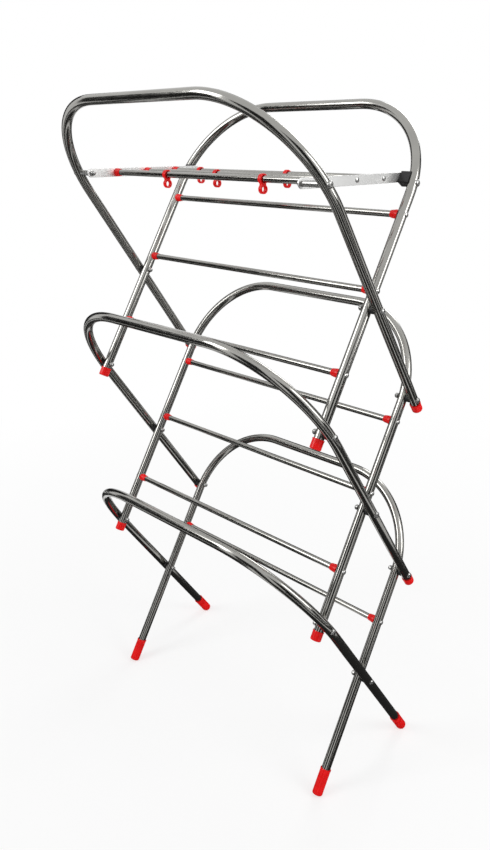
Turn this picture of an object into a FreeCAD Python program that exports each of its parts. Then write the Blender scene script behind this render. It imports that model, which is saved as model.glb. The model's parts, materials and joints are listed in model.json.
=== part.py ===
import FreeCAD, Part
import math
import os

# Folding three-tier clothes airer. Millimetres, +Z up, X across the width, -Y is the front.
# Three crossed pairs of inverted-U tube frames are stacked as a scissor. An F frame leans its
# top rail to the front, a B frame leans its top rail to the back and sits inside the F frame.

# Overall sizes
OUTER_SPACING = 720.0        # between the leg centrelines of an F frame
HALF_ANGLE = 32.2            # lean of every frame from vertical when open, degrees
PIVOT_STEP = 246.0           # from a middle crossing to an end crossing, along a leg
TOP_REACH = 432.0            # from the middle crossing up to the top rail centreline
FOOT_REACH = 268.0           # from the lowest middle crossing down to the foot tip
END_OVERHANG = 31.0          # from an end crossing to the tip of the leg cap
FOOT_TIP_HEIGHT = 2.0        # height of the foot cap's tip centre above the floor plane

# Tubes
TUBE_R = 10.0
TUBE_WALL = 1.0
FRAME_GAP = 6.0              # between the F legs' inner face and the B legs' outer face
BEND_F = 215.0               # corner radius of an F frame, at the tube centreline
BEND_B = 200.0               # corner radius of a B frame
RAIL_R = 6.35
RAIL_WALL = 0.9

# Rails across the B frames, measured up the leg from the middle crossing
RAILS = {"b1": [192.0, 36.5, -131.0], "b2": [192.0, 36.5, -131.0], "b3": [126.0]}
RAIL_NAMES = ["upper", "middle", "lower"]

# Red plastic fittings
FERRULE_WIDE_R = 8.8
FERRULE_NARROW_R = 7.4
FERRULE_LENGTH = 14.5        # visible length beyond the leg face
FERRULE_WALL = 4.0           # thickness of the end wall behind the rail's end
PLUG_LENGTH = 16.0           # plug that enters the rail's bore
CAP_R = 11.3
CAP_LENGTH = 20.0
CAP_END = 3.0
FOOT_R = 11.7
FOOT_LENGTH = 57.0
FOOT_END = 8.0
SLIP = 0.05                  # radial slip of a pressed or pushed-on plastic part
SEAT_SLIP = 0.1              # between a leg's surface and a fitting hollowed to sit on it

# Pivot hardware
BOLT_R = 3.0
PIN_SLIP = 0.08              # radial clearance of a bolt in a drilled hole
HEAD_R = 6.5
HEAD_HEIGHT = 3.2
SPACER_R = 8.0
TRAY_SLEEVE_R = 5.5          # steel sleeve on the tray's hinge bolt
NUT_R = 5.4
NUT_LENGTH = 8.5
RUN_GAP = 0.3                # face clearance of parts that turn against each other

# Rail screws
SCREW_R = 1.9
SCREW_SLIP = 0.1
SCREW_HEAD_R = 4.8
SCREW_HEAD_HEIGHT = 2.4
SCREW_LENGTH = 36.0

# Hanger tray between the top frames
TRAY_REACH = 269.0           # up the top legs from the crossing to the tray's bolts
STRAP_OUTER_X = 305.5
STRAP_THICK = 2.5
STRAP_HEIGHT = 18.0
STRAP_END = 10.5             # strap length beyond the bolt and beyond the pin
ROD_Y = [-80.0, 0.0, 80.0]
ROD_NAMES = ["front", "middle", "rear"]
REST_PIN_R = 4.0
REST_PIN_LENGTH = 5.4
CRADLE_BACK = 12.0           # cradle block beyond the pin axis, away from its open sides
CRADLE_FRONT = 7.0
CRADLE_TAIL = 17.0           # cradle block down the leg, where its bolt goes in
CRADLE_BOLT_DROP = 11.4
CRADLE_CLEAR = 0.5           # around the rest pin, to the floor and to the front wall

# Hooks: rod index, position along X
HOOKS = [(0, -128.0), (0, 150.0), (1, -65.0), (2, -210.0), (2, 61.0)]
HOOK_THICK = 9.0
HOOK_RING = 3.0              # width of the band around each hole
HOOK_EYE_R = 5.6             # hole of the lower ring
HOOK_DROP = 18.2             # between the two hole centres
HOOK_CLEAR = 0.3

SIN = math.sin(math.radians(HALF_ANGLE))
COS = math.cos(math.radians(HALF_ANGLE))
HALF = {"f": OUTER_SPACING / 2, "b": OUTER_SPACING / 2 - 2 * TUBE_R - FRAME_GAP}
BEND = {"f": BEND_F, "b": BEND_B}
LEAN = {"f": -1, "b": 1}

# Heights of the crossings on the centre plane, and offset of the end crossings
P3 = FOOT_TIP_HEIGHT + FOOT_REACH * COS
P2 = P3 + 2 * PIVOT_STEP * COS
P1 = P2 + 2 * PIVOT_STEP * COS
CROSS_Z = {1: P1, 2: P2, 3: P3}
TRAY_Y = TRAY_REACH * SIN
TRAY_Z = P1 + TRAY_REACH * COS

X = FreeCAD.Vector(1, 0, 0)
Z = FreeCAD.Vector(0, 0, 1)


def vec(x, y, z):
    return FreeCAD.Vector(x, y, z)


def save(shape, name):
    shape.exportStep("parts/" + name + ".step")


def group(solids):
    return Part.Compound(solids)


def lean_point(side, tier, along, x=0.0, off=0.0):
    """Point on a frame: distance along its leg from the middle crossing, off its plane."""
    sign = LEAN[side]
    return vec(x, sign * along * SIN + off * COS, CROSS_Z[tier] + along * COS - sign * off * SIN)


def place(shape, side, tier):
    """Turn a shape built upright around the middle crossing to the frame's lean."""
    moved = shape.copy()
    moved.rotate(vec(0, 0, 0), X, -LEAN[side] * HALF_ANGLE)
    moved.translate(vec(0, 0, CROSS_Z[tier]))
    return moved


def x_cylinder(radius, x0, x1, point):
    start = min(x0, x1)
    return Part.makeCylinder(radius, abs(x1 - x0), vec(start, point.y, point.z), X)


def both_sides(build):
    """Build a fitting for the right side (+X) and for the left side (-X)."""
    solids = []
    for sign in (1, -1):
        solids.append(build(sign))
    return solids


def turned_x(profile, sign, point):
    """Solid of revolution about X from (distance from the centre plane, radius) pairs."""
    points = [vec(sign * a, r, 0) for a, r in profile]
    wire = Part.makePolygon(points + [points[0]])
    solid = Part.Face(wire).revolve(vec(0, 0, 0), X, 360)
    solid.translate(vec(0, point.y, point.z))
    return Part.Solid(solid.Shells[0])


def leg_x(side, along):
    """Distance from the centre plane to the leg's centreline at a height up the leg."""
    into_bend = along - (TOP_REACH - BEND[side])
    if into_bend <= 0:
        return HALF[side]
    return HALF[side] - BEND[side] + math.sqrt(BEND[side] ** 2 - into_bend ** 2)


def sweep_u(side, bottom, radius):
    """Round bar bent to the inverted U of a frame, upright, crossing at the origin."""
    half = HALF[side]
    bend = BEND[side]
    chord = bend * math.sqrt(0.5)
    shoulder = TOP_REACH - bend
    inner = half - bend
    path = [
        Part.makeLine(vec(-half, 0, bottom), vec(-half, 0, shoulder)),
        Part.Arc(vec(-half, 0, shoulder), vec(-inner - chord, 0, shoulder + chord),
                 vec(-inner, 0, TOP_REACH)).toShape(),
        Part.makeLine(vec(-inner, 0, TOP_REACH), vec(inner, 0, TOP_REACH)),
        Part.Arc(vec(inner, 0, TOP_REACH), vec(inner + chord, 0, shoulder + chord),
                 vec(half, 0, shoulder)).toShape(),
        Part.makeLine(vec(half, 0, shoulder), vec(half, 0, bottom)),
    ]
    section = Part.Wire(Part.makeCircle(radius, vec(-half, 0, bottom), Z))
    return Part.Wire(path).makePipeShell([section], True, True)


def leg_bottom(tier, cap_end):
    reach = FOOT_REACH if tier == 3 else PIVOT_STEP + END_OVERHANG
    return -reach + cap_end


def frame_bottom(tier):
    return leg_bottom(tier, FOOT_END if tier == 3 else CAP_END)


def frame_bar(side, tier):
    """The frame's outer volume and a little more, used to seat fittings against it."""
    return place(sweep_u(side, frame_bottom(tier), TUBE_R + SEAT_SLIP), side, tier)


def frame_tube(side, tier, hole_list):
    """Bent tube with every cross hole drilled through both legs."""
    bottom = frame_bottom(tier)
    tube = sweep_u(side, bottom, TUBE_R).cut(sweep_u(side, bottom, TUBE_R - TUBE_WALL))
    drills = []
    for along, radius in hole_list:
        for sign in (1, -1):
            at = sign * leg_x(side, along)
            drills.append(x_cylinder(radius, at - 15, at + 15, vec(0, 0, along)))
    return place(tube.cut(drills), side, tier)


def end_cap(side, tier, sign, radius, length, end_wall, rounding, rings):
    """Closed plastic cap pushed over a leg end, upright below the crossing."""
    tip = leg_bottom(tier, 0)
    at = sign * HALF[side]
    body = Part.makeCylinder(radius, length, vec(at, 0, tip), Z)
    low_edges = [e for e in body.Edges if abs(e.BoundBox.ZMax - tip) < 0.01]
    body = body.makeFillet(rounding, low_edges)
    collar = Part.makeCylinder(radius + 0.5, 2.2, vec(at, 0, tip + length - 2.2), Z)
    body = body.fuse(collar)
    grooves = []
    for ring in rings:
        outer = Part.makeCylinder(radius + 2, 1.2, vec(at, 0, tip + ring), Z)
        core = Part.makeCylinder(radius - 0.6, 1.2, vec(at, 0, tip + ring), Z)
        grooves.append(outer.cut(core))
    if grooves:
        body = body.cut(grooves)
    bore = Part.makeCylinder(TUBE_R + SLIP, length, vec(at, 0, tip + end_wall), Z)
    return place(body.cut(bore), side, tier)


def foot(side, sign):
    cap = end_cap(side, 3, sign, FOOT_R, FOOT_LENGTH, FOOT_END, 3.0, [38.0, 42.0, 46.0])
    under_floor = Part.makeBox(2000, 2000, 50, vec(-1000, -1000, -50))
    return cap.cut(under_floor)


def ferrule(sign, point, face_x, seat):
    """Cone socket that holds a rail end against a leg or a strap."""
    wall_x = face_x - FERRULE_WALL
    tip_x = face_x - FERRULE_LENGTH
    root_x = face_x + (3.0 if seat else 0.0)
    plug_r = RAIL_R - RAIL_WALL - SLIP
    socket_r = RAIL_R + SLIP
    screw_r = SCREW_R + SCREW_SLIP
    profile = [
        (root_x, screw_r),
        (root_x, FERRULE_WIDE_R),
        (face_x - 3.0, FERRULE_WIDE_R),
        (tip_x + 0.8, FERRULE_NARROW_R),
        (tip_x, FERRULE_NARROW_R - 0.5),
        (tip_x, socket_r),
        (wall_x, socket_r),
        (wall_x, plug_r),
        (wall_x - PLUG_LENGTH + 1.0, plug_r),
        (wall_x - PLUG_LENGTH, plug_r - 0.8),
        (wall_x - PLUG_LENGTH, screw_r),
    ]
    solid = turned_x(profile, sign, point)
    if seat:
        solid = solid.cut(seat)
    return solid.Solids[0]


def rail(point, face_x):
    end = face_x - FERRULE_WALL
    outer = x_cylinder(RAIL_R, -end, end, point)
    return outer.cut(x_cylinder(RAIL_R - RAIL_WALL, -end, end, point))


def cross_slot(sign, tip_x, width, depth, point):
    """Cross recess cut into a screw head."""
    inner = tip_x - depth
    start = min(sign * inner, sign * (tip_x + 1))
    bars = []
    for wide, tall in ((width, 1.1), (1.1, width)):
        corner = vec(start, point.y - wide / 2, point.z - tall / 2)
        bars.append(Part.makeBox(depth + 1, wide, tall, corner))
    return bars


def dome_screw(sign, point, face_x, seat):
    """Dome-head screw through a leg or a strap into a ferrule's plug."""
    dip = 1.6 if seat else 0.0
    height = SCREW_HEAD_HEIGHT
    steps = 8
    profile = [(face_x - SCREW_LENGTH, 0.0), (face_x - SCREW_LENGTH, SCREW_R * 0.4)]
    profile.append((face_x - SCREW_LENGTH + 1.5, SCREW_R))
    profile += [(face_x - dip, SCREW_R), (face_x - dip, SCREW_HEAD_R), (face_x + 0.5, SCREW_HEAD_R)]
    for step in range(1, steps):
        turn = math.radians(80.0 * step / (steps - 1))
        rise = math.sin(turn) / math.sin(math.radians(80.0))
        profile.append((face_x + 0.5 + (height - 0.5) * rise, SCREW_HEAD_R * math.cos(turn)))
    profile.append((face_x + height, 0.0))
    solid = turned_x(profile, sign, point)
    solid = solid.cut(cross_slot(sign, face_x + height, 4.6, 1.2, point))
    if seat:
        head_zone = x_cylinder(SCREW_R, sign * (face_x - 40), sign * (face_x + 2), point)
        solid = solid.cut(seat.cut(head_zone))
    return solid.Solids[0]


def hex_recess(sign, tip_x, across, depth, point):
    corners = []
    for step in range(7):
        turn = math.radians(60.0 * step)
        radius = across / math.sqrt(3)
        corners.append(vec(sign * (tip_x - depth), point.y + radius * math.cos(turn),
                           point.z + radius * math.sin(turn)))
    face = Part.Face(Part.makePolygon(corners))
    return face.extrude(vec(sign * (depth + 1), 0, 0))


def pivot_bolt(sign, point, face_x, end_x, bar):
    """Button-head bolt: head seated on the outer leg, shank through both legs."""
    dip = 3.0
    profile = [(end_x, 0.0), (end_x, BOLT_R), (face_x - dip, BOLT_R), (face_x - dip, HEAD_R)]
    profile += [(face_x + 0.8, HEAD_R), (face_x + 2.3, HEAD_R * 0.82)]
    profile += [(face_x + HEAD_HEIGHT, HEAD_R * 0.52), (face_x + HEAD_HEIGHT, 0.0)]
    solid = turned_x(profile, sign, point)
    solid = solid.cut(hex_recess(sign, face_x + HEAD_HEIGHT, 4.0, 1.8, point))
    shank_zone = x_cylinder(BOLT_R, sign * (end_x - 5), sign * (face_x + 1), point)
    return solid.cut(bar.cut(shank_zone)).Solids[0]


def spacer(sign, point, far_x, near_x, bar, radius):
    """Sleeve on the bolt, hollowed to sit against the round leg."""
    sleeve = x_cylinder(radius, sign * far_x, sign * (near_x + 3.5), point)
    bore = x_cylinder(BOLT_R + PIN_SLIP, sign * (far_x - 1), sign * (near_x + 5), point)
    return sleeve.cut([bore, bar]).Solids[0]


def cap_nut(sign, point, face_x):
    """Domed nut on the bolt's end, hexagon at the leg side."""
    corners = []
    for step in range(7):
        turn = math.radians(60.0 * step + 30)
        radius = NUT_R * 1.06
        corners.append(vec(sign * face_x, point.y + radius * math.cos(turn),
                           point.z + radius * math.sin(turn)))
    hexagon = Part.Face(Part.makePolygon(corners)).extrude(vec(-sign * 4.5, 0, 0))
    profile = [(face_x - 1.0, 0.0), (face_x - 1.0, NUT_R), (face_x - 4.5, NUT_R)]
    for step in range(1, 6):
        turn = math.radians(15.0 * step)
        depth = 4.5 + (NUT_LENGTH - 4.5) * math.sin(turn) / math.sin(math.radians(75.0))
        profile.append((face_x - depth, NUT_R * math.cos(turn)))
    profile.append((face_x - NUT_LENGTH, 0.0))
    dome = turned_x(profile, sign, point)
    blind_x = face_x - NUT_LENGTH + 2.3
    bore = x_cylinder(BOLT_R + SLIP, sign * (face_x + 1), sign * blind_x, point)
    return hexagon.fuse(dome).removeSplitter().cut(bore).Solids[0]


# Crossings: which F frame carries the bolt, where it sits on that frame and on the B frame
CROSSINGS = {
    1: [(0.0, 1, 0.0), (-PIVOT_STEP, 2, PIVOT_STEP)],
    2: [(0.0, 2, 0.0), (PIVOT_STEP, 1, -PIVOT_STEP), (-PIVOT_STEP, 3, PIVOT_STEP)],
    3: [(0.0, 3, 0.0), (PIVOT_STEP, 2, -PIVOT_STEP)],
}


def frame_holes():
    """Cross holes of all six frames, from the crossings, the rails and the tray."""
    pin_hole = BOLT_R + PIN_SLIP
    screw_hole = SCREW_R + SCREW_SLIP
    holes = {"f1": [], "f2": [], "f3": [], "b1": [], "b2": [], "b3": []}
    for tier, crossings in CROSSINGS.items():
        for along_f, b_tier, along_b in crossings:
            holes["f%d" % tier].append((along_f, pin_hole))
            holes["b%d" % b_tier].append((along_b, pin_hole))
    for name, heights in RAILS.items():
        for along in heights:
            holes[name].append((along, screw_hole))
    holes["f1"].append((TRAY_REACH, pin_hole))
    holes["b1"].append((TRAY_REACH - CRADLE_BOLT_DROP, pin_hole))
    return holes


def build_frames():
    holes = frame_holes()
    for side in ("f", "b"):
        for tier in (1, 2, 3):
            name = "%s%d" % (side, tier)
            save(frame_tube(side, tier, holes[name]), "frame_" + name)


def build_caps():
    for side in ("f", "b"):
        for tier in (1, 2):
            caps = both_sides(lambda s: end_cap(side, tier, s, CAP_R, CAP_LENGTH, CAP_END, 2.5, []))
            save(group(caps), "caps_%s%d" % (side, tier))
        for sign, label in ((1, "right"), (-1, "left")):
            save(foot(side, sign), "foot_%s_%s" % (side, label))


def build_rails():
    for name, heights in RAILS.items():
        tier = int(name[1])
        bar = frame_bar("b", tier)
        face_x = HALF["b"] - TUBE_R
        outer_x = HALF["b"] + TUBE_R
        ferrules = []
        screws = []
        for index, along in enumerate(heights):
            point = lean_point("b", tier, along)
            label = RAIL_NAMES[index] if len(heights) > 1 else "single"
            save(rail(point, face_x), "rail_%s_%s" % (name, label))
            ferrules += both_sides(lambda s: ferrule(s, point, face_x, bar))
            screws += both_sides(lambda s: rail_screw(s, point, outer_x, bar))
        save(group(ferrules), "ferrules_" + name)
        save(group(screws), "rail_screws_" + name)


def rail_screw(sign, point, outer_x, bar):
    """Screw head outside the leg, shank across the leg and into the ferrule."""
    profile_shift = 2 * TUBE_R
    shank = x_cylinder(SCREW_R, sign * (outer_x - profile_shift - 20), sign * outer_x, point)
    head = dome_screw(sign, point, outer_x, bar)
    return head.fuse(shank).removeSplitter().Solids[0]


def build_pivots():
    for tier, crossings in CROSSINGS.items():
        bar = frame_bar("f", tier)
        bolts = []
        spacers = []
        nuts = []
        for along_f, b_tier, along_b in crossings:
            point = lean_point("f", tier, along_f)
            centre_x = leg_x("f", along_f)
            head_x = centre_x + TUBE_R
            inner_x = centre_x - TUBE_R
            far_x = HALF["b"] + TUBE_R + RUN_GAP
            nut_x = leg_x("b", max(0.0, along_b) + NUT_R) - TUBE_R - RUN_GAP
            end_x = nut_x - NUT_LENGTH + 2.5
            bolts += both_sides(lambda s: pivot_bolt(s, point, head_x, end_x, bar))
            spacers += both_sides(lambda s: spacer(s, point, far_x, inner_x, bar, SPACER_R))
            nuts += both_sides(lambda s: cap_nut(s, point, nut_x))
        save(group(bolts), "pivot_bolts_f%d" % tier)
        save(group(spacers), "pivot_spacers_f%d" % tier)
        save(group(nuts), "pivot_nuts_f%d" % tier)


def strap(sign):
    """Flat tray side plate with round ends, drilled for the hinge, the rods and the pin."""
    end = TRAY_Y + STRAP_END
    inner = min(sign * STRAP_OUTER_X, sign * (STRAP_OUTER_X - STRAP_THICK))
    half_height = STRAP_HEIGHT / 2
    straight = end - half_height
    low = TRAY_Z - half_height
    plate = Part.makeBox(STRAP_THICK, 2 * straight, STRAP_HEIGHT, vec(inner, -straight, low))
    for y in (-straight, straight):
        plate = plate.fuse(Part.makeCylinder(half_height, STRAP_THICK, vec(inner, y, TRAY_Z), X))
    plate = plate.removeSplitter()
    drills = []
    for y, radius in [(-TRAY_Y, BOLT_R + PIN_SLIP), (TRAY_Y, BOLT_R + SLIP)]:
        drills.append(Part.makeCylinder(radius, 10, vec(inner - 4, y, TRAY_Z), X))
    for y in ROD_Y:
        drills.append(Part.makeCylinder(SCREW_R + SCREW_SLIP, 10, vec(inner - 4, y, TRAY_Z), X))
    return plate.cut(drills).Solids[0]


def rest_pin(sign):
    """Shouldered pin riveted in the strap's rear end."""
    rivet_x = STRAP_OUTER_X - STRAP_THICK
    profile = [
        (rivet_x - 1.5, 0.0),
        (rivet_x - 1.5, REST_PIN_R * 0.6),
        (rivet_x - 1.1, REST_PIN_R),
        (rivet_x, REST_PIN_R * 1.15),
        (rivet_x, BOLT_R),
        (STRAP_OUTER_X, BOLT_R),
        (STRAP_OUTER_X, REST_PIN_R),
        (STRAP_OUTER_X + REST_PIN_LENGTH - 0.6, REST_PIN_R),
        (STRAP_OUTER_X + REST_PIN_LENGTH, REST_PIN_R - 0.6),
        (STRAP_OUTER_X + REST_PIN_LENGTH, 0.0),
    ]
    return turned_x(profile, sign, vec(0, TRAY_Y, TRAY_Z))


def cradle(sign, bar):
    """Black block on the rear leg with an open notch: floor under the pin, wall before it.

    The notch opens backwards, square to the leg, for folding, and straight up for lifting."""
    inner_x = STRAP_OUTER_X + RUN_GAP
    near = HALF["b"] - TUBE_R + 4.0
    low = TRAY_REACH - CRADLE_TAIL
    length = near - inner_x
    left = min(sign * inner_x, sign * near)
    width = CRADLE_BACK + CRADLE_FRONT
    height = CRADLE_TAIL + CRADLE_FRONT
    block = Part.makeBox(length, width, height, vec(left, -CRADLE_BACK, low))
    edges = [e for e in block.Edges if e.BoundBox.XLength > length - 0.01]
    block = block.makeFillet(2.2, edges)
    notch_at = -REST_PIN_R - CRADLE_CLEAR
    notch = Part.makeBox(length + 2, 40, 40, vec(left - 1, notch_at, TRAY_REACH + notch_at))
    bolt_z = TRAY_REACH - CRADLE_BOLT_DROP
    bore = x_cylinder(BOLT_R + SLIP, sign * (inner_x + 1.8), sign * (near + 1), vec(0, 0, bolt_z))
    lift_way = Part.makeBox(length + 2, 40, 40, vec(left - 1, TRAY_Y + notch_at, TRAY_Z))
    return place(block.cut([notch, bore]), "b", 1).cut([bar, lift_way]).Solids[0]


def rod_hook(index, x):
    """Figure-eight hook: the upper ring runs on a tray rod, the lower ring takes a hanger."""
    y = ROD_Y[index]
    top_r = RAIL_R + HOOK_CLEAR
    left = x - HOOK_THICK / 2
    low_z = TRAY_Z - HOOK_DROP
    upper = Part.makeCylinder(top_r + HOOK_RING, HOOK_THICK, vec(left, y, TRAY_Z), X)
    lower = Part.makeCylinder(HOOK_EYE_R + HOOK_RING, HOOK_THICK, vec(left, y, low_z), X)
    neck = Part.makeBox(HOOK_THICK, 8.0, HOOK_DROP, vec(left, y - 4.0, low_z))
    body = upper.fuse([lower, neck]).removeSplitter()
    rims = [e for e in body.Edges if e.BoundBox.XLength < 0.01 and e.Length > 6.0]
    body = body.makeChamfer(0.6, rims)
    holes = [
        Part.makeCylinder(top_r, HOOK_THICK + 2, vec(left - 1, y, TRAY_Z), X),
        Part.makeCylinder(HOOK_EYE_R, HOOK_THICK + 2, vec(left - 1, y, low_z), X),
    ]
    return body.cut(holes).Solids[0]


def build_tray():
    strap_in = STRAP_OUTER_X - STRAP_THICK
    ferrules = []
    screws = []
    for label, y in zip(ROD_NAMES, ROD_Y):
        point = vec(0, y, TRAY_Z)
        save(rail(point, strap_in), "tray_rod_" + label)
        ferrules += both_sides(lambda s: ferrule(s, point, strap_in, None))
        screws += both_sides(lambda s: dome_screw(s, point, STRAP_OUTER_X, None))
    save(group(ferrules), "tray_ferrules")
    save(group(screws), "tray_screws")
    save(strap(1), "tray_strap_right")
    save(strap(-1), "tray_strap_left")
    save(group(both_sides(rest_pin)), "tray_rest_pins")
    for number, (index, x) in enumerate(HOOKS, 1):
        save(rod_hook(index, x), "hook_%d" % number)


def build_tray_mounts():
    front_bar = frame_bar("f", 1)
    rear_bar = frame_bar("b", 1)
    hinge = vec(0, -TRAY_Y, TRAY_Z)
    leg_f = leg_x("f", TRAY_REACH)
    nut_x = STRAP_OUTER_X - STRAP_THICK - RUN_GAP
    end_x = nut_x - NUT_LENGTH + 2.5
    bolts = both_sides(lambda s: pivot_bolt(s, hinge, leg_f + TUBE_R, end_x, front_bar))
    strap_face = STRAP_OUTER_X + RUN_GAP
    inner_x = leg_f - TUBE_R
    sleeves = both_sides(
        lambda s: spacer(s, hinge, strap_face, inner_x, front_bar, TRAY_SLEEVE_R))
    save(group(bolts), "tray_bolts")
    save(group(sleeves), "tray_spacers")
    save(group(both_sides(lambda s: cap_nut(s, hinge, nut_x))), "tray_nuts")
    save(group(both_sides(lambda s: cradle(s, rear_bar))), "tray_cradles")
    bolt_at = TRAY_REACH - CRADLE_BOLT_DROP
    point = lean_point("b", 1, bolt_at)
    head_x = leg_x("b", bolt_at) + TUBE_R
    tip_x = STRAP_OUTER_X + RUN_GAP + 2.0
    cradle_bolts = both_sides(lambda s: pivot_bolt(s, point, head_x, tip_x, rear_bar))
    save(group(cradle_bolts), "cradle_bolts")


os.makedirs("parts", exist_ok=True)
build_frames()
build_caps()
build_rails()
build_pivots()
build_tray()
build_tray_mounts()
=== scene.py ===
import bpy
import json
import math
from mathutils import Matrix, Vector


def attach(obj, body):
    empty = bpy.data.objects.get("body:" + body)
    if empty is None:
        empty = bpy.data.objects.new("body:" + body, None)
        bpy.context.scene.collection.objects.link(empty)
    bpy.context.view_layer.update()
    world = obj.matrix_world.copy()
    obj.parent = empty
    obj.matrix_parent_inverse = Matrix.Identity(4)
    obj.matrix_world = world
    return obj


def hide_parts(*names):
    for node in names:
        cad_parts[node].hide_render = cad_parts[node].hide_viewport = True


# Looks for the folding three-tier clothes airer. Metres, same frame as the CAD model.

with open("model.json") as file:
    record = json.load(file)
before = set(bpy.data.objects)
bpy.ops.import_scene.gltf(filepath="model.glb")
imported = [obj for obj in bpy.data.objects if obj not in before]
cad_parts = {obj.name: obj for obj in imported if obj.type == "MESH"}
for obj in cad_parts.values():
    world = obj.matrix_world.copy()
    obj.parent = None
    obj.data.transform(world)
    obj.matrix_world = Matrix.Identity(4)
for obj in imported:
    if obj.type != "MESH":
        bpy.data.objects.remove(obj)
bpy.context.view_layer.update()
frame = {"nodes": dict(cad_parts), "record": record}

# ---------------------------------------------------------------- sizes, most shared with the CAD
SPACING = {"f": 0.720, "b": 0.668}     # leg centre to leg centre
BEND = {"f": 0.215, "b": 0.200}        # corner radius at the tube centreline
LEAN = {"f": -1, "b": 1}               # -1: top rail at the front
HALF_ANGLE = math.radians(32.2)
STEP = 0.246                           # middle crossing to end crossing, along a leg
TOP = 0.432                            # middle crossing to the top rail
FOOT_REACH = 0.268                     # lowest crossing to the foot, along a leg
FOOT_HEIGHT = 0.002                    # the end of that reach stands this far over the floor
OVERHANG = 0.031                       # end crossing to the outside of the end cap
FOOT_CAP_END = 0.008                   # foot cap beyond the tube's end
TUBE_CAP_END = 0.003                   # end cap beyond the tube's end
TUBE_R = 0.010
TUBE_WALL = 0.001
TUBE_LINING = 0.030                    # length of bore surface made inside each end
RAIL_R = 0.00635
RAIL_WALL = 0.0009
RAIL_LINING = 0.020
RAIL_HALF = 0.320
ROD_HALF = 0.299
RAILS = {
    "b1": {"upper": 0.192, "middle": 0.0365, "lower": -0.131},
    "b2": {"upper": 0.192, "middle": 0.0365, "lower": -0.131},
    "b3": {"single": 0.126},
}
ROD_Y = {"front": -0.080, "middle": 0.0, "rear": 0.080}
TRAY_REACH = 0.269
HOOKS = {1: ("front", -0.128), 2: ("front", 0.150), 3: ("middle", -0.065),
         4: ("rear", -0.210), 5: ("rear", 0.061)}
HOOK_DROP = 0.0182
HOOK_TOP_R = 0.00665
HOOK_EYE_R = 0.0056
HOOK_BAND = 0.0030
HOOK_THICK = 0.009
HOOK_FILLET = 0.0030                   # in the waist of the figure eight
HOOK_EDGE = 0.0013
STRAP_OUT = 0.3055
STRAP_THICK = 0.0025
STRAP_HALF = 0.009
STRAP_END = 0.0105
STRAP_EDGE = 0.0004
HINGE_HOLE_R = 0.00308
PIN_HOLE_R = 0.00305
SCREW_HOLE_R = 0.002
TUBE_SIDES = 48                        # mesh steps round a frame tube
RAIL_SIDES = 32                        # round a rail or rod
ARC_STEPS = 34                         # along a corner bend

SIN = math.sin(HALF_ANGLE)
COS = math.cos(HALF_ANGLE)
P3 = FOOT_HEIGHT + FOOT_REACH * COS
CROSS_Z = {3: P3, 2: P3 + 2 * STEP * COS, 1: P3 + 4 * STEP * COS}
TRAY_Y = TRAY_REACH * SIN
TRAY_Z = CROSS_Z[1] + TRAY_REACH * COS


def lean_point(side, tier, x, along):
    """A point in a leaning frame's plane, from the middle crossing up the leg."""
    return Vector((x, LEAN[side] * along * SIN, CROSS_Z[tier] + along * COS))


# ---------------------------------------------------------------- material helpers
class Nodes:
    """A material's node tree with short calls for the nodes used here."""

    def __init__(self, name):
        self.mat = bpy.data.materials.new(name)
        self.mat.use_nodes = True
        self.tree = self.mat.node_tree
        self.tree.nodes.clear()
        self.out = self.tree.nodes.new("ShaderNodeOutputMaterial")
        self.shader = self.tree.nodes.new("ShaderNodeBsdfPrincipled")
        self.tree.links.new(self.shader.outputs["BSDF"], self.out.inputs["Surface"])

    def new(self, kind, **props):
        node = self.tree.nodes.new(kind)
        for key, value in props.items():
            setattr(node, key, value)
        return node

    def link(self, source, target):
        self.tree.links.new(source, target)

    def set(self, **values):
        for key, value in values.items():
            self.shader.inputs[key.replace("_", " ")].default_value = value

    def coords(self, output="Object", scale=(1, 1, 1)):
        source = self.new("ShaderNodeTexCoord")
        mapping = self.new("ShaderNodeMapping")
        mapping.inputs["Scale"].default_value = scale
        self.link(source.outputs[output], mapping.inputs["Vector"])
        return mapping.outputs["Vector"]

    def noise(self, vector, scale, detail, rough):
        node = self.new("ShaderNodeTexNoise")
        node.inputs["Scale"].default_value = scale
        node.inputs["Detail"].default_value = detail
        node.inputs["Roughness"].default_value = rough
        self.link(vector, node.inputs["Vector"])
        return node.outputs["Fac"]

    def remap(self, value, low, high, to_low, to_high):
        node = self.new("ShaderNodeMapRange")
        node.inputs["From Min"].default_value = low
        node.inputs["From Max"].default_value = high
        node.inputs["To Min"].default_value = to_low
        node.inputs["To Max"].default_value = to_high
        self.link(value, node.inputs["Value"])
        return node.outputs["Result"]

    def math(self, operation, a, b):
        node = self.new("ShaderNodeMath", operation=operation)
        for index, value in enumerate((a, b)):
            if isinstance(value, (int, float)):
                node.inputs[index].default_value = value
            else:
                self.link(value, node.inputs[index])
        return node.outputs["Value"]

    def ramp(self, value, stops):
        node = self.new("ShaderNodeValToRGB")
        elements = node.color_ramp.elements
        while len(elements) < len(stops):
            elements.new(0.5)
        for element, (place, color) in zip(elements, stops):
            element.position = place
            element.color = (*color, 1.0)
        self.link(value, node.inputs["Fac"])
        return node.outputs["Color"]

    def bump(self, height, strength, distance):
        node = self.new("ShaderNodeBump")
        node.inputs["Strength"].default_value = strength
        node.inputs["Distance"].default_value = distance
        self.link(height, node.inputs["Height"])
        self.link(node.outputs["Normal"], self.shader.inputs["Normal"])


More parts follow.
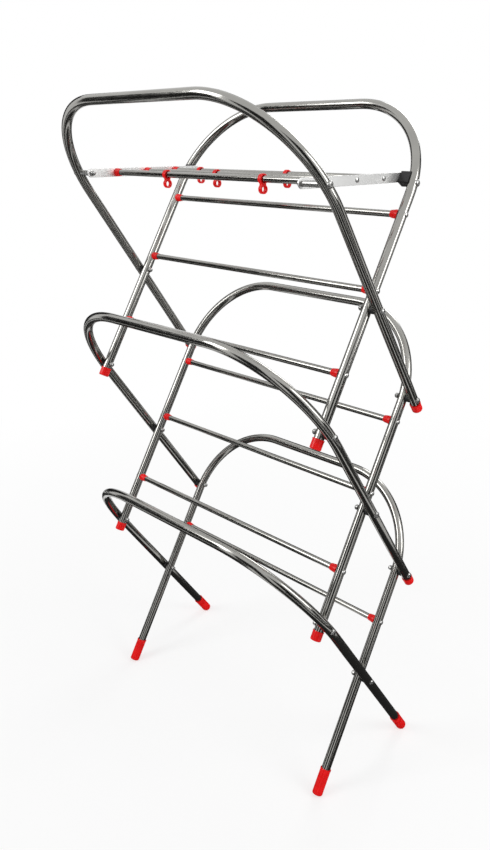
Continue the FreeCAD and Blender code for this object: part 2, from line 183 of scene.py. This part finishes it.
def polished_tube(name, tone):
    """Polished tube: fine drawing lines along its length, cloudy tint and handling marks."""
    n = Nodes(name)
    n.set(Metallic=1.0)
    along = n.coords("UV", (900.0, 6.0, 1.0))
    lines = n.noise(along, scale=1.0, detail=2.0, rough=0.6)
    cloud = n.noise(n.coords("Object"), scale=14.0, detail=4.0, rough=0.55)
    smudge = n.noise(n.coords("Object", (1.0, 1.0, 0.6)), scale=55.0, detail=5.0, rough=0.65)
    blend = n.math("ADD", n.math("MULTIPLY", cloud, 0.7), n.math("MULTIPLY", lines, 0.3))
    tint = n.ramp(blend, [
        (0.30, tuple(c * 0.88 for c in tone)),
        (0.52, tone),
        (0.75, tuple(min(1.0, c * 1.10) for c in tone)),
    ])
    n.link(tint, n.shader.inputs["Base Color"])
    smeared = n.remap(smudge, 0.35, 0.75, 0.10, 0.17)
    drawn = n.remap(lines, 0.3, 0.7, 0.0, 0.03)
    rough = n.math("ADD", smeared, drawn)
    n.link(rough, n.shader.inputs["Roughness"])
    n.bump(lines, strength=0.02, distance=0.0001)
    return n.mat


def bright_metal(name, tone, rough_low, rough_high, scale, bump):
    """Plated or pressed steel for screws, bolts and the flat tray straps."""
    n = Nodes(name)
    n.set(Metallic=1.0)
    where = n.coords("Object")
    fine = n.noise(where, scale=scale, detail=4.0, rough=0.6)
    broad = n.noise(where, scale=scale * 0.12, detail=3.0, rough=0.5)
    tint = n.ramp(broad, [(0.3, tuple(c * 0.86 for c in tone)), (0.7, tone)])
    n.link(tint, n.shader.inputs["Base Color"])
    n.link(n.remap(fine, 0.3, 0.7, rough_low, rough_high), n.shader.inputs["Roughness"])
    n.bump(fine, strength=bump, distance=0.0002)
    return n.mat


def moulded_plastic(name, tone, rough_low, rough_high, grain):
    """Injection-moulded plastic: slight flow variation, scuffs and a fine moulded grain."""
    n = Nodes(name)
    where = n.coords("Object")
    flow = n.noise(where, scale=60.0, detail=3.0, rough=0.5)
    scuff = n.noise(where, scale=420.0, detail=5.0, rough=0.7)
    tint = n.ramp(flow, [
        (0.25, tuple(c * 0.80 for c in tone)),
        (0.55, tone),
        (0.85, tuple(min(1.0, c * 1.06 + 0.004) for c in tone)),
    ])
    n.link(tint, n.shader.inputs["Base Color"])
    n.link(n.remap(scuff, 0.35, 0.75, rough_low, rough_high), n.shader.inputs["Roughness"])
    n.set(IOR=1.46, Specular_IOR_Level=0.30)
    fine = n.noise(where, scale=grain, detail=2.0, rough=0.5)
    n.bump(fine, strength=0.12, distance=0.0002)
    return n.mat


MATS = {
    "frame_tube": polished_tube("steel_tube", (0.36, 0.355, 0.335)),
    "rail_tube": polished_tube("steel_rail", (0.34, 0.335, 0.315)),
    "strap_steel": bright_metal("steel_strap", (0.90, 0.90, 0.89), rough_low=0.36,
                                rough_high=0.44, scale=40.0, bump=0.01),
    "zinc_screw": bright_metal("plated_screw", (0.60, 0.60, 0.59), rough_low=0.16,
                               rough_high=0.26, scale=300.0, bump=0.05),
    "bolt_steel": bright_metal("steel_bolt", (0.46, 0.46, 0.45), rough_low=0.22,
                               rough_high=0.34, scale=300.0, bump=0.05),
    "red_plastic": moulded_plastic("red_plastic", (0.80, 0.003, 0.003), rough_low=0.24,
                                   rough_high=0.36, grain=1500.0),
    "black_plastic": moulded_plastic("black_plastic", (0.018, 0.018, 0.019), rough_low=0.38,
                                     rough_high=0.55, grain=1800.0),
}


# ---------------------------------------------------------------- mesh helpers
def place_piece(name, mesh, slot, body, replaced):
    """Adds a finished mesh as the piece that stands for the CAD nodes in `replaced`."""
    mesh.materials.append(MATS[slot])
    obj = bpy.data.objects.new(name, mesh)
    bpy.context.scene.collection.objects.link(obj)
    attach(obj, body)
    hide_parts(*replaced)
    return obj


def finish_mesh(name, verts, faces, uvs, slot, body, replaced, flat_faces):
    """Mesh piece with UVs from one list of corners per face, smooth but for `flat_faces`."""
    mesh = bpy.data.meshes.new(name)
    mesh.from_pydata([tuple(v) for v in verts], [], faces)
    mesh.update()
    layer = mesh.uv_layers.new(name="UVMap")
    for poly in mesh.polygons:
        poly.use_smooth = poly.index not in flat_faces
        for loop, uv in zip(poly.loop_indices, uvs[poly.index]):
            layer.data[loop].uv = uv
    return place_piece(name, mesh, slot, body, replaced)


def sweep(name, path, across, radius, inner, lining, slot, body, replaced, around):
    """Round tube along a path that lies in the plane whose normal is `across`.

    Each end shows the wall's edge, and inside it the bore for a length of `lining`."""
    rings = []
    travelled = 0.0
    count = len(path)
    for index, point in enumerate(path):
        before = path[max(index - 1, 0)]
        after = path[min(index + 1, count - 1)]
        if index:
            travelled += (point - path[index - 1]).length
        ahead = (after - before).normalized()
        rings.append((point, across.cross(ahead).normalized(), travelled, radius))
    ahead = (path[1] - path[0]).normalized()
    back = (path[-1] - path[-2]).normalized()
    start_side = rings[0][1]
    end_side = rings[-1][1]
    bore = [
        (path[0] + ahead * lining, start_side, -lining, inner),
        (path[0], start_side, 0.0, inner),
    ]
    tail = [
        (path[-1], end_side, travelled, inner),
        (path[-1] - back * lining, end_side, travelled + lining, inner),
    ]
    rows = bore + rings + tail
    verts = []
    for centre, side, _, size in rows:
        for step in range(around):
            turn = 2 * math.pi * step / around
            offset = side * (size * math.cos(turn)), across * (size * math.sin(turn))
            verts.append(centre + offset[0] + offset[1])
    faces = []
    uvs = []
    girth = 2 * math.pi * radius
    for row in range(len(rows) - 1):
        for step in range(around):
            nxt = (step + 1) % around
            a = row * around + step
            b = row * around + nxt
            faces.append((a, b, b + around, a + around))
            u0 = girth * step / around
            u1 = girth * (step + 1) / around
            v0 = rows[row][2]
            v1 = rows[row + 1][2]
            uvs.append(((u0, v0), (u1, v0), (u1, v1), (u0, v1)))
    for start, flip in ((0, False), (len(rows) - 1, True)):
        disc = [start * around + step for step in range(around)]
        disc = disc if flip else disc[::-1]
        faces.append(tuple(disc))
        uvs.append(tuple((0.0, 0.0) for _ in disc))
    rims = set()
    for row in (1, len(rows) - 3):
        rims.update(range(row * around, (row + 1) * around))
    rims.update((len(faces) - 2, len(faces) - 1))
    obj = finish_mesh(name, verts, faces, uvs, slot, body, replaced, rims)
    sharp = set()
    for row in (1, 2, len(rows) - 3, len(rows) - 2):
        for step in range(around):
            ends = (row * around + step, row * around + (step + 1) % around)
            sharp.add(tuple(sorted(ends)))
    for edge in obj.data.edges:
        if tuple(sorted(edge.vertices)) in sharp:
            edge.use_edge_sharp = True


def u_path(side, tier, bottom):
    """Centreline of an inverted U: up the left leg, round the corners, down the right leg."""
    half = SPACING[side] / 2
    bend = BEND[side]
    shoulder = TOP - bend
    inner = half - bend
    flat = [(-half, bottom), (-half, bottom * 0.5), (-half, 0.0), (-half, shoulder * 0.5)]
    for step in range(ARC_STEPS + 1):
        turn = math.pi / 2 * step / ARC_STEPS
        flat.append((-inner - bend * math.cos(turn), shoulder + bend * math.sin(turn)))
    flat.append((0.0, TOP))
    for step in range(ARC_STEPS + 1):
        turn = math.pi / 2 * (1 - step / ARC_STEPS)
        flat.append((inner + bend * math.cos(turn), shoulder + bend * math.sin(turn)))
    flat += [(half, shoulder * 0.5), (half, 0.0), (half, bottom * 0.5), (half, bottom)]
    return [lean_point(side, tier, x, along) for x, along in flat]


def build_frames():
    for side in ("f", "b"):
        for tier in (1, 2, 3):
            reach = FOOT_REACH - FOOT_CAP_END if tier == 3 else STEP + OVERHANG - TUBE_CAP_END
            across = Vector((0, COS, -LEAN[side] * SIN))
            key = "%s%d" % (side, tier)
            sweep("tube_" + key, u_path(side, tier, -reach), across,
                  TUBE_R, TUBE_R - TUBE_WALL, TUBE_LINING,
                  "frame_tube", "frame_%s_body" % key, ["frame_" + key], TUBE_SIDES)


def straight_bar(name, points, body, replaced):
    sweep(name, points, Vector((0, 0, 1)), RAIL_R, RAIL_R - RAIL_WALL, RAIL_LINING,
          "rail_tube", body, [replaced], RAIL_SIDES)


def build_rails():
    for key, places in RAILS.items():
        for label, along in places.items():
            points = [lean_point("b", int(key[1]), x, along)
                      for x in (-RAIL_HALF, -0.30, -0.15, 0.0, 0.15, 0.30, RAIL_HALF)]
            rail = "%s_%s" % (key, label)
            straight_bar("bar_" + rail, points, "frame_%s_body" % key, "rail_" + rail)
    for label, y in ROD_Y.items():
        points = [Vector((x, y, TRAY_Z))
                  for x in (-ROD_HALF, -0.29, -0.15, 0.0, 0.15, 0.29, ROD_HALF)]
        straight_bar("tray_bar_" + label, points, "tray_body", "tray_rod_" + label)


def plate_curve(name, loops, thick, edge):
    """Mesh of a flat plate from closed outlines in its own plane, with rounded edges."""
    curve = bpy.data.curves.new(name, "CURVE")
    curve.dimensions = "2D"
    curve.fill_mode = "BOTH"
    for loop in loops:
        spline = curve.splines.new("POLY")
        spline.points.add(len(loop) - 1)
        for point, (a, b) in zip(spline.points, loop):
            point.co = (a, b, 0.0, 1.0)
        spline.use_cyclic_u = True
    curve.extrude = thick / 2 - edge
    curve.bevel_depth = edge
    curve.bevel_resolution = 3
    curve.offset = -edge
    holder = bpy.data.objects.new(name + "_curve", curve)
    mesh = bpy.data.meshes.new_from_object(holder)
    bpy.data.objects.remove(holder)
    bpy.data.curves.remove(curve)
    return mesh


def ring_points(centre, radius, start, end, count):
    """Points on an arc from one angle up to, but not at, the other."""
    points = []
    for step in range(count):
        turn = start + (end - start) * step / count
        points.append((centre[0] + radius * math.cos(turn), centre[1] + radius * math.sin(turn)))
    return points


def hook_loops():
    """Outline of the figure-eight hook and its two holes, upper hole at the origin."""
    r_top = HOOK_TOP_R + HOOK_BAND
    r_eye = HOOK_EYE_R + HOOK_BAND
    to_top = r_top + HOOK_FILLET
    to_eye = r_eye + HOOK_FILLET
    squares = to_top ** 2 + HOOK_DROP ** 2 - to_eye ** 2
    angle = math.acos(squares / (2 * to_top * HOOK_DROP))
    side = to_top * math.sin(angle)
    low = -to_top * math.cos(angle)
    top_at = math.atan2(low, side)
    eye_at = math.atan2(low + HOOK_DROP, side)
    half_turn = math.pi
    outline = ring_points((0, 0), r_top, top_at, half_turn - top_at, 48)
    outline += ring_points((-side, low), HOOK_FILLET, -top_at, -eye_at, 10)
    outline += ring_points((0, -HOOK_DROP), r_eye, half_turn - eye_at, 2 * half_turn + eye_at, 44)
    outline += ring_points((side, low), HOOK_FILLET, half_turn + eye_at, half_turn + top_at, 10)
    holes = [
        ring_points((0, 0), HOOK_TOP_R, 0, 2 * math.pi, 48),
        ring_points((0, -HOOK_DROP), HOOK_EYE_R, 0, 2 * math.pi, 40),
    ]
    return [outline] + holes


def stand_in_plane(mesh, place):
    """Turns a plate drawn in XY so that its X is the object's Y and its Y is up, at `place`."""
    turn = Matrix(((0, 0, 1), (1, 0, 0), (0, 1, 0))).to_4x4()
    mesh.transform(Matrix.Translation(place) @ turn)


def add_plate(name, mesh, slot, body, replaced):
    """Adds a plate with smooth faces and sharp corners."""
    for poly in mesh.polygons:
        poly.use_smooth = True
    mesh.set_sharp_from_angle(angle=math.radians(50))
    mesh.materials.clear()
    place_piece(name, mesh, slot, body, replaced)


def build_hooks():
    for number, (rod, x) in HOOKS.items():
        mesh = plate_curve("hook_plate_%d" % number, hook_loops(), HOOK_THICK, HOOK_EDGE)
        stand_in_plane(mesh, Vector((x, ROD_Y[rod], TRAY_Z)))
        add_plate("red_hook_%d" % number, mesh, "red_plastic", "hook_%d_body" % number,
                  ["hook_%d" % number])


def build_straps():
    straight = TRAY_Y + STRAP_END - STRAP_HALF
    outline = ring_points((straight, 0), STRAP_HALF, -math.pi / 2, math.pi / 2, 24)
    outline += ring_points((-straight, 0), STRAP_HALF, math.pi / 2, 3 * math.pi / 2, 24)
    holes = [ring_points((-TRAY_Y, 0), HINGE_HOLE_R, 0, 2 * math.pi, 24),
             ring_points((TRAY_Y, 0), PIN_HOLE_R, 0, 2 * math.pi, 24)]
    holes += [ring_points((y, 0), SCREW_HOLE_R, 0, 2 * math.pi, 16) for y in ROD_Y.values()]
    for sign, label in ((1, "right"), (-1, "left")):
        mesh = plate_curve("strap_plate_" + label, [outline] + holes, STRAP_THICK, STRAP_EDGE)
        stand_in_plane(mesh, Vector((sign * (STRAP_OUT - STRAP_THICK / 2), 0, TRAY_Z)))
        add_plate("flat_strap_" + label, mesh, "strap_steel", "tray_body",
                  ["tray_strap_" + label])


def dress_cad_nodes():
    """Every CAD node that stays visible gets the full material of its slot."""
    slots = {part["node"]: part["material_slot"] for part in frame["record"]["subparts"]}
    for node, obj in frame["nodes"].items():
        obj.data.materials.clear()
        obj.data.materials.append(MATS[slots[node]])
        for poly in obj.data.polygons:
            poly.material_index = 0


# ---------------------------------------------------------------- floor, world, cards, lamps
FLOOR_HALF = 14
SHADOW_NEAR = 0.5                      # distance from the middle where the floor starts to whiten
SHADOW_FAR = 2.4                       # and where it is plain white
SHADOW_WHITE = 0.66                    # share of plain white below the object
WALL_CARDS = 7
WALL_CARD_HALF = (0.95, 1.6)           # half width and half height
WALL_CARD_HEIGHT = 1.3                 # height of its centre
WALL_REACH = 3.2
WALL_TURN = 0.35                       # the ring of cards is turned by this part of a step
FLOOR_CARDS = 6
FLOOR_CARD_HALF = (0.38, 3.0)
FLOOR_CARD_HEIGHT = 0.003
FLOOR_CARD_STEP = 0.95
LAMPS = (                              # name, place, height aimed at, width, length, watts
    ("key_lamp", (-1.6, -2.4, 2.6), 0.7, 1.4, 1.8, 45),
    ("side_lamp", (2.6, 0.8, 2.0), 0.7, 0.9, 2.0, 32),
    ("back_lamp", (-0.6, 2.6, 2.4), 0.8, 1.2, 1.2, 24),
)
LENS = 30.50
LENS_SHIFT = (-0.0863, -0.0362)
CAMERA_PLACE = (1.1210, -1.0495, 1.3540)
CAMERA_DOWN = 0.3380                   # how far below level the camera looks
CAMERA_TURN = 0.7122


def background_rays(tree, path):
    """1 for every ray that shows the background: camera, glossy and transmission."""
    total = path.outputs["Is Camera Ray"]
    for name in ("Is Glossy Ray", "Is Transmission Ray"):
        either = tree.nodes.new("ShaderNodeMath")
        either.operation = "MAXIMUM"
        tree.links.new(total, either.inputs[0])
        tree.links.new(path.outputs[name], either.inputs[1])
        total = either.outputs[0]
    return total


def build_floor():
    """Pale floor that keeps the object's shadow and fades to plain white away from it."""
    verts = [(x * FLOOR_HALF, y * FLOOR_HALF, 0) for x, y in ((-1, -1), (1, -1), (1, 1), (-1, 1))]
    mesh = bpy.data.meshes.new("studio_floor")
    mesh.from_pydata(verts, [], [(0, 1, 2, 3)])
    floor = bpy.data.objects.new("studio_floor", mesh)
    bpy.context.scene.collection.objects.link(floor)
    mat = bpy.data.materials.new("floor_paper")
    mat.use_nodes = True
    tree = mat.node_tree
    tree.nodes.clear()
    out = tree.nodes.new("ShaderNodeOutputMaterial")
    paper = tree.nodes.new("ShaderNodeBsdfDiffuse")
    paper.inputs["Color"].default_value = (0.86, 0.86, 0.86, 1)
    glow = tree.nodes.new("ShaderNodeEmission")
    glow.inputs["Color"].default_value = (1, 1, 1, 1)
    glow.inputs["Strength"].default_value = 1.0
    path = tree.nodes.new("ShaderNodeLightPath")
    seen = background_rays(tree, path)
    coords = tree.nodes.new("ShaderNodeTexCoord")
    length = tree.nodes.new("ShaderNodeVectorMath")
    length.operation = "LENGTH"
    tree.links.new(coords.outputs["Object"], length.inputs[0])
    fade = tree.nodes.new("ShaderNodeMapRange")
    fade.interpolation_type = "SMOOTHSTEP"
    fade.inputs["From Min"].default_value = SHADOW_NEAR
    fade.inputs["From Max"].default_value = SHADOW_FAR
    fade.inputs["To Min"].default_value = SHADOW_WHITE
    fade.inputs["To Max"].default_value = 1.0
    tree.links.new(length.outputs["Value"], fade.inputs["Value"])
    amount = tree.nodes.new("ShaderNodeMath")
    amount.operation = "MULTIPLY"
    tree.links.new(seen, amount.inputs[0])
    tree.links.new(fade.outputs["Result"], amount.inputs[1])
    mix = tree.nodes.new("ShaderNodeMixShader")
    tree.links.new(amount.outputs[0], mix.inputs["Fac"])
    tree.links.new(paper.outputs[0], mix.inputs[1])
    tree.links.new(glow.outputs[0], mix.inputs[2])
    tree.links.new(mix.outputs[0], out.inputs["Surface"])
    mesh.materials.append(mat)


def build_world():
    """White wherever the background shows, and a softer grey for the light it gives."""
    world = bpy.data.worlds.new("studio")
    bpy.context.scene.world = world
    world.use_nodes = True
    tree = world.node_tree
    tree.nodes.clear()
    out = tree.nodes.new("ShaderNodeOutputWorld")
    path = tree.nodes.new("ShaderNodeLightPath")
    seen = tree.nodes.new("ShaderNodeBackground")
    seen.inputs["Color"].default_value = (1, 1, 1, 1)
    soft = tree.nodes.new("ShaderNodeBackground")
    soft.inputs["Color"].default_value = (0.62, 0.62, 0.62, 1)
    mix = tree.nodes.new("ShaderNodeMixShader")
    tree.links.new(background_rays(tree, path), mix.inputs["Fac"])
    tree.links.new(soft.outputs[0], mix.inputs[1])
    tree.links.new(seen.outputs[0], mix.inputs[2])
    tree.links.new(mix.outputs[0], out.inputs["Surface"])


def dark_card(name, centre, side, up, material):
    """One matt studio card, which only reflections show. `side` and `up` are half its size."""
    corners = [centre - side - up, centre + side - up, centre + side + up, centre - side + up]
    mesh = bpy.data.meshes.new(name)
    mesh.from_pydata([tuple(c) for c in corners], [], [(0, 1, 2, 3)])
    mesh.materials.append(material)
    card = bpy.data.objects.new(name, mesh)
    bpy.context.scene.collection.objects.link(card)
    card.visible_camera = False
    card.visible_diffuse = False
    card.visible_shadow = False
    card.visible_transmission = False


def build_cards():
    """Dark cards round the studio, which polished tube needs for its dark bands."""
    material = bpy.data.materials.new("card_felt")
    material.use_nodes = True
    shader = material.node_tree.nodes["Principled BSDF"]
    shader.inputs["Base Color"].default_value = (0.02, 0.02, 0.02, 1)
    shader.inputs["Roughness"].default_value = 1.0
    for step in range(WALL_CARDS):
        turn = 2 * math.pi * (step + WALL_TURN) / WALL_CARDS
        out = Vector((math.cos(turn), math.sin(turn), 0))
        side = Vector((-out.y, out.x, 0)) * WALL_CARD_HALF[0]
        centre = out * WALL_REACH + Vector((0, 0, WALL_CARD_HEIGHT))
        up = Vector((0, 0, WALL_CARD_HALF[1]))
        dark_card("card_wall_%d" % step, centre, side, up, material)
    for step in range(FLOOR_CARDS):
        x = (step - (FLOOR_CARDS - 1) / 2) * FLOOR_CARD_STEP
        dark_card("card_floor_%d" % step, Vector((x, 0, FLOOR_CARD_HEIGHT)),
                  Vector((FLOOR_CARD_HALF[0], 0, 0)), Vector((0, FLOOR_CARD_HALF[1], 0)), material)


def build_lamps():
    for name, place, aim, wide, tall, watts in LAMPS:
        lamp = bpy.data.lights.new(name, "AREA")
        lamp.shape = "RECTANGLE"
        lamp.size = wide
        lamp.size_y = tall
        lamp.energy = watts
        obj = bpy.data.objects.new(name, lamp)
        obj.location = place
        away = Vector((0, 0, aim)) - Vector(place)
        obj.rotation_euler = away.to_track_quat("-Z", "Y").to_euler()
        bpy.context.scene.collection.objects.link(obj)


def build_camera():
    """The photograph's viewpoint: solved position, direction and lens."""
    cam = bpy.data.cameras.new("camera")
    cam.sensor_fit = "AUTO"
    cam.sensor_width = 36.0
    cam.lens = LENS
    cam.shift_x, cam.shift_y = LENS_SHIFT
    obj = bpy.data.objects.new("camera", cam)
    obj.location = CAMERA_PLACE
    obj.rotation_euler = (math.pi / 2 - CAMERA_DOWN, 0.0, CAMERA_TURN)
    bpy.context.scene.collection.objects.link(obj)
    bpy.context.scene.camera = obj


dress_cad_nodes()
build_frames()
build_rails()
build_hooks()
build_straps()
build_floor()
build_world()
build_cards()
build_lamps()
build_camera()
bpy.context.scene.view_settings.view_transform = "Standard"
